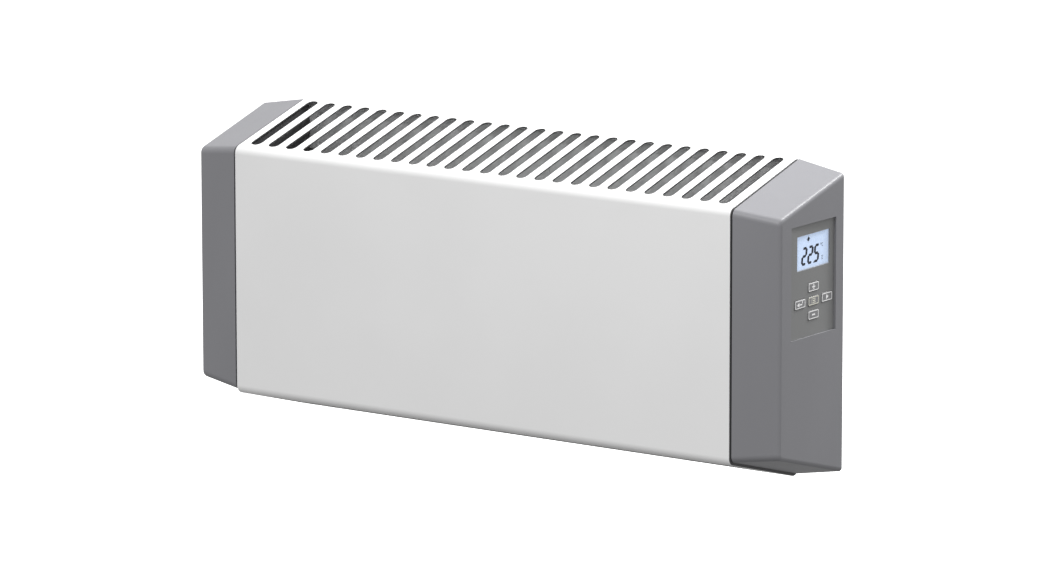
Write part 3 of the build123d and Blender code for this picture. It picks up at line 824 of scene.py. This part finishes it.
@dataclass
class Internals:
    """Fan, motor, duct, element, boards, wiring and fasteners."""

    frame: dict

    def build(self) -> None:
        """Dress every inner node."""
        for finish, nodes in self.plan():
            Finisher.paint(self.frame, finish.make(), nodes)

    def plan(self) -> list[tuple[object, list[str]]]:
        """Which finish each node has.

        Returns:
            Pairs of a finish and the nodes that have it.
        """
        return [
            (BareMetal("pressed_aluminium", (0.62, 0.63, 0.64), MetalWork.DRAWN, 0.36),
             ["fan_impeller", "element_fins"]),
            (BareMetal("ground_steel", (0.56, 0.56, 0.57)), ["fan_stub_shaft", "motor_shaft", "motor_rotor"]),
            (BareMetal("zinc_plated_screw", (0.60, 0.60, 0.57), MetalWork.CAST, 0.32),
             ["cap_screws_left", "cap_screws_right", "base_screws", "control_board_screws"]),
            (BareMetal("die_cast_zinc", (0.45, 0.45, 0.46), MetalWork.CAST, 0.48),
             ["motor_frame_outer", "motor_frame_inner"]),
            (BareMetal("sintered_bronze", (0.52, 0.33, 0.14), MetalWork.CAST, 0.45), ["motor_bearings"]),
            (BareMetal("turned_brass", (0.66, 0.50, 0.22)), ["terminal_screws"]),
            (BareMetal("heat_tinted_sheath", (0.22, 0.19, 0.17), MetalWork.DRAWN, 0.42, 0.9,
                       (0.10, 0.05, 0.03), 0.6), ["heating_element"]),
            (Striped("core_laminations", (0.16, 0.15, 0.15), (0.03, 0.03, 0.03), "X", 0.0006, 0.5, 0.7),
             ["motor_stator"]),
            (Striped("varnished_winding", (0.42, 0.13, 0.04), (0.08, 0.02, 0.01), "Z", 0.0007, 0.28),
             ["motor_coil"]),
            (Striped("ribbon_cable", (0.36, 0.36, 0.38), (0.14, 0.14, 0.15), "Y", 0.00127, 0.45),
             ["control_ribbon"]),
            (CircuitLaminate("green_laminate"), ["control_board", "power_board"]),
            (MouldedPlastic("relay_housing", (0.025, 0.07, 0.19), 0.34), ["power_board_parts"]),
            (MouldedPlastic("black_component", (0.022, 0.022, 0.024), 0.42),
             ["control_board_parts", "key_switches", "thermal_cutout"]),
            (MouldedPlastic("natural_nylon", (0.66, 0.63, 0.54), 0.45),
             ["power_board_spacers", "cable_clamp", "air_sensor", "terminal_block"]),
            (MouldedPlastic("steatite", (0.66, 0.63, 0.56), 0.55, 900.0),
             ["element_bushes", "element_terminals"]),
            (MouldedPlastic("black_rubber", (0.018, 0.018, 0.018), 0.72, 1100.0),
             ["fan_drive_hub", "fan_end_bearing", "cable_grommet"]),
            (MouldedPlastic("brown_insulation", (0.11, 0.04, 0.02), 0.38, 2600.0), ["supply_wires"]),
            (MouldedPlastic("red_silicone_sleeve", (0.36, 0.03, 0.02), 0.50, 2600.0), ["element_wires"]),
            (MouldedPlastic("blue_insulation", (0.02, 0.07, 0.30), 0.38, 2600.0), ["motor_wires"]),
            (MouldedPlastic("light_box_white", (0.80, 0.80, 0.78), 0.40), ["backlight_box"]),
        ]


class Segment(Enum):
    """A digit's strokes: across in half widths, up in quarter heights, and whether the stroke is upright."""

    TOP = (0, 2, False)
    UPPER_LEFT = (-1, 1, True)
    UPPER_RIGHT = (1, 1, True)
    MIDDLE = (0, 0, False)
    LOWER_LEFT = (-1, -1, True)
    LOWER_RIGHT = (1, -1, True)
    BOTTOM = (0, -2, False)


DIGITS = {
    "2": (Segment.TOP, Segment.UPPER_RIGHT, Segment.MIDDLE, Segment.LOWER_LEFT, Segment.BOTTOM),
    "5": (Segment.TOP, Segment.UPPER_LEFT, Segment.MIDDLE, Segment.LOWER_RIGHT, Segment.BOTTOM),
}


@dataclass
class Display:
    """Window, lit field and the strokes that show on it. Sizes are in millimetres."""

    frame: dict
    digit_size: tuple[float, float] = (6.0, 14.2)
    stroke: float = 2.7
    heavy_stroke: float = 3.6
    thick: float = 0.03
    lean: float = 0.14
    reading: tuple[tuple[str, float], ...] = (("2", -13.3), ("2", -3.3), ("5", 6.8))
    base_line: float = -3.7
    stroke_gap: float = 0.35
    point_radius: float = 0.8
    point_place: tuple[float, float] = (2.6, -7.6)
    heat_mark_place: tuple[float, float] = (-6.6, 11.0)
    degree_place: tuple[float, float] = (15.6, 2.2)
    level_place: tuple[float, float] = (16.0, -10.5)
    level_rows: tuple[Triple, ...] = ((0, 0, 3.0), (0, 1.5, 3.0), (0, 3.0, 3.0))
    edge_size: tuple[float, float] = (53.0, 31.2)
    edge_line: float = 0.55
    edge_corner: float = 0.6

    def build(self) -> None:
        """Dress the window and draw the reading."""
        low, high = (Vector(corner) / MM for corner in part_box("display_glass"))
        self.x = high.x + self.thick * 0.6
        self.centre = (low + high) / 2
        glass = BacklitCrystal("backlit_crystal").make(self.centre.y * MM, self.centre.z * MM)
        Finisher.paint(self.frame, glass, ["display_glass"])
        Finisher.paint(self.frame, ClearWindow("clear_window").make(), ["display_lens"])
        ink = MouldedPlastic("crystal_stroke_navy", (0.001, 0.003, 0.014), 0.6, 3000.0, 0.00001).make()
        for index, (digit, u) in enumerate(self.reading):
            self.place(self.digit(f"display_digit_{index + 1}", digit), u, self.base_line, ink)
        point_u, point_v = self.point_place
        self.place(self.dot("display_point", self.point_radius), point_u, self.base_line + point_v, ink)
        self.place(self.flame(), *self.heat_mark_place, ink)
        self.place(self.degree(), *self.degree_place, ink)
        self.place(self.bars("display_level", self.level_rows), *self.level_place, ink)
        edge_ink = MouldedPlastic("display_edge_white", (0.72, 0.76, 0.84), 0.4, 3000.0, 0.00001).make()
        rim = Bench.outline(*self.edge_size, self.edge_line, self.edge_corner, self.thick)
        edge = Bench.join("display_edge", [rim])
        Bench.mount(edge, self.x, self.centre.y, self.centre.z)
        dress(edge, edge_ink, HEATER_BODY)

    def place(self, piece: bpy.types.Object, u: float, v: float, ink: bpy.types.Material) -> None:
        """Lean a drawing and stand it on the lit field.

        Args:
            piece: The drawing.
            u: How far across from the field's middle.
            v: How far up from it.
            ink: The drawing's material.
        """
        Bench.slant(piece, self.lean)
        Bench.mount(piece, self.x, self.centre.y + u, self.centre.z + v)
        dress(piece, ink, HEATER_BODY)

    def digit(self, name: str, figure: str) -> bpy.types.Object:
        """Draw one figure from its strokes.

        Args:
            name: The piece's name.
            figure: The figure to draw.

        Returns:
            The figure.
        """
        width, height = self.digit_size
        strokes = []
        for segment in DIGITS[figure]:
            across, up, upright = segment.value
            length = (height / 2 if upright else width) - self.stroke_gap
            bar = Bench.strip(length, self.heavy_stroke if upright else self.stroke, self.thick, upright)
            strokes.append(Bench.shift(bar, across * width / 2, up * height / 4))
        return Bench.join(name, strokes)

    def dot(self, name: str, radius: float) -> bpy.types.Object:
        """Draw a dot."""
        return Bench.join(name, [Bench.disc(radius, self.thick)])

    def flame(self) -> bpy.types.Object:
        """Draw the small heating mark.

        Returns:
            The mark.
        """
        body = Bench.disc(1.9, self.thick)
        rays = [Bench.shift(Bench.strip(1.1, 0.5, self.thick, not i % 2),
                            2.5 * (0, 1, 0, -1)[i], 2.5 * (1, 0, -1, 0)[i]) for i in range(4)]
        return Bench.join("display_heat_mark", [body, *rays])

    def degree(self) -> bpy.types.Object:
        """Draw the degree ring and its C.

        Returns:
            The mark.
        """
        ring = Bench.shift(Bench.outline(1.7, 1.7, 0.4, 0.8, self.thick), -1.6, 1.4)
        c_bars = [(0.9, 2.0, 1.8, False), (0.1, 0.6, 2.6, True), (0.9, -0.8, 1.8, False)]
        c_mark = [Bench.shift(Bench.strip(length, 0.5, self.thick, upright), u, v)
                  for u, v, length, upright in c_bars]
        return Bench.join("display_degree_mark", [ring, *c_mark])

    def bars(self, name: str, rows: Sequence[tuple[float, float, float]]) -> bpy.types.Object:
        """Draw short level bars at (across, up, length)."""
        return Bench.join(name, [Bench.shift(Bench.strip(length, 0.55, self.thick), u, v)
                                 for u, v, length in rows])


@dataclass
class Keypad:
    """Five keys with an outline and a mark printed on each. Sizes are in millimetres."""

    frame: dict
    outline_size: tuple[float, float] = (16.3, 7.3)
    line: float = 0.75
    corner: float = 1.0
    thick: float = 0.04
    row_pitch: float = 1.7

    def build(self) -> None:
        """Dress the keys and print their marks."""
        cap = MouldedPlastic("key_grey_moulding", (0.225, 0.225, 0.232), 0.40, 2600.0, 0.00002).make()
        light = MouldedPlastic("key_print_light", (0.92, 0.92, 0.92), 0.5, 3000.0, 0.00001).make()
        warm = MouldedPlastic("key_print_warm", (0.78, 0.77, 0.66), 0.5, 3000.0, 0.00001).make()
        marks = {"plus": self.plus, "minus": self.minus, "menu": self.menu,
                 "back": self.back, "next": self.next}
        for name, mark in marks.items():
            node = f"key_{name}"
            Finisher.paint(self.frame, cap, [node])
            low, high = (Vector(corner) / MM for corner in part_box(node))
            centre = (low + high) / 2
            outline = Bench.outline(*self.outline_size, self.line, self.corner, self.thick)
            piece = Bench.join(f"print_{name}", [outline, *mark()])
            Bench.mount(piece, high.x + self.thick * 0.2, centre.y, centre.z)
            dress(piece, warm if name == "menu" else light, f"{name}_key")

    def bar(self, u: float, v: float, length: float, width: float = 0.8,
            upright: bool = False) -> bpy.types.Object:
        """One printed bar at (u, v)."""
        return Bench.shift(Bench.strip(length, width, self.thick, upright), u, v)

    def plus(self) -> list[bpy.types.Object]:
        """A plus sign."""
        return [self.bar(0, 0, 5.0, 1.5), self.bar(0, 1.6, 1.7, 1.9, True), self.bar(0, -1.6, 1.7, 1.9, True)]

    def minus(self) -> list[bpy.types.Object]:
        """A minus sign."""
        return [self.bar(0, 0, 5.4, 1.6)]

    def menu(self) -> list[bpy.types.Object]:
        """Three lines and their dots.

        Returns:
            The mark's bars.
        """
        levels = (-self.row_pitch, 0.0, self.row_pitch)
        rows = [self.bar(0.8, v, 4.8) for v in levels]
        return rows + [self.bar(-3.0, v, 1.3) for v in levels]

    def back(self) -> list[bpy.types.Object]:
        """A return arrow."""
        head = Bench.shift(Bench.disc(2.5, self.thick, 3, math.pi / 2), -2.7, -0.4)
        return [head, self.bar(1.1, -0.4, 4.6, 1.4), self.bar(3.4, 1.5, 2.3, 1.4, True)]

    def next(self) -> list[bpy.types.Object]:
        """A forward arrow."""
        return [Bench.shift(Bench.disc(2.6, self.thick, 3, -math.pi / 2), 0.0, 0.0)]


# ---- studio -------------------------------------------------------------------------------------
@dataclass
class Studio:
    """Floor, lights and camera. Lengths are in metres and angles in degrees."""

    camera_place: Triple = (3.7690, -5.4349, 1.3194)
    yaw: float = -34.933
    pitch: float = -11.292
    roll: float = -0.064
    lens: float = 251.27
    floor_height: float = -0.60
    floor_size: float = 60.0
    floor_glow: float = 0.55
    sensor_width: float = 36.0
    far_clip: float = 200.0
    sky_range: tuple[float, float] = (0.22, 1.30)
    softboxes: tuple = (
        ("overhead_softbox", (0.3, 0.2, 2.2), (2.6, 1.6), 26.0),
        ("front_softbox", (0.3, -1.15, 1.0), (0.5, 0.3), 5.6),
        ("ridge_softbox", (0.70, 1.80, 1.75), (0.35, 0.35), 72.0),
    )

    def build(self) -> None:
        """Set the stage."""
        self.camera()
        self.floor()
        self.world()
        self.lights()

    def camera(self) -> None:
        """Place the camera by its direction angles."""
        yaw, pitch, roll = (math.radians(angle) for angle in (self.yaw, self.pitch, self.roll))
        forward = Vector((math.sin(yaw) * math.cos(pitch), math.cos(yaw) * math.cos(pitch), math.sin(pitch)))
        level = Vector((math.cos(yaw), -math.sin(yaw), 0.0))
        rise = level.cross(forward)
        right = math.cos(roll) * level + math.sin(roll) * rise
        up = math.cos(roll) * rise - math.sin(roll) * level
        data = bpy.data.cameras.new("view_camera")
        data.lens = self.lens
        data.sensor_width = self.sensor_width
        data.clip_end = self.far_clip
        camera = bpy.data.objects.new("view_camera", data)
        aim = Matrix((right, up, -forward)).transposed().to_4x4()
        camera.matrix_world = Matrix.Translation(self.camera_place) @ aim
        bpy.context.scene.collection.objects.link(camera)
        bpy.context.scene.camera = camera

    def floor(self) -> None:
        """Lay a wide pale floor well under the heater, bright enough to read as white."""
        Bench.clear()
        bpy.ops.mesh.primitive_plane_add(size=self.floor_size, location=(0, 0, self.floor_height))
        floor = bpy.context.object
        floor.name = "floor"
        recipe = Recipe("pale_floor")
        shade = recipe.noise(0.8, 2.0)
        base = recipe.mix(shade, (0.93, 0.93, 0.93), (0.96, 0.96, 0.96))
        pale = recipe.finish(Base_Color=base, Roughness=0.7 + 0.1 * shade,
                             Emission_Color=base, Emission_Strength=self.floor_glow)
        floor.data.materials.append(pale)
        floor.visible_diffuse = False
        floor.visible_glossy = False

    def world(self) -> None:
        """Pale surroundings, brighter overhead than below."""
        world = bpy.data.worlds.new("soft_surroundings")
        world.use_nodes = True
        tree = world.node_tree
        tree.nodes.clear()
        point = tree.nodes.new("ShaderNodeTexCoord")
        split = tree.nodes.new("ShaderNodeSeparateXYZ")
        level = tree.nodes.new("ShaderNodeMapRange")
        level.inputs["From Min"].default_value = -1.0
        level.inputs["To Min"].default_value, level.inputs["To Max"].default_value = self.sky_range
        background = tree.nodes.new("ShaderNodeBackground")
        output = tree.nodes.new("ShaderNodeOutputWorld")
        tree.links.new(point.outputs["Generated"], split.inputs[0])
        tree.links.new(split.outputs["Z"], level.inputs["Value"])
        tree.links.new(level.outputs[0], background.inputs["Strength"])
        tree.links.new(background.outputs[0], output.inputs["Surface"])
        bpy.context.scene.world = world
        bpy.context.scene.view_settings.view_transform = "Standard"

    def lights(self) -> None:
        """Hang the soft lights, each aimed at the heater."""
        for name, place, size, power in self.softboxes:
            data = bpy.data.lights.new(name, "AREA")
            data.shape = "RECTANGLE"
            data.size, data.size_y = size
            data.energy = power
            light = bpy.data.objects.new(name, data)
            light.location = place
            light.rotation_euler = (-Vector(place)).to_track_quat("-Z", "Y").to_euler()
            bpy.context.scene.collection.objects.link(light)


def main() -> None:
    """Load the frame, dress it, draw the small pieces and set the stage."""
    logging.basicConfig(level=logging.INFO, format="%(name)s: %(message)s")
    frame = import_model()
    Shells(frame).build()
    Internals(frame).build()
    Display(frame).build()
    Keypad(frame).build()
    Studio().build()


if __name__ == "__main__":
    main()
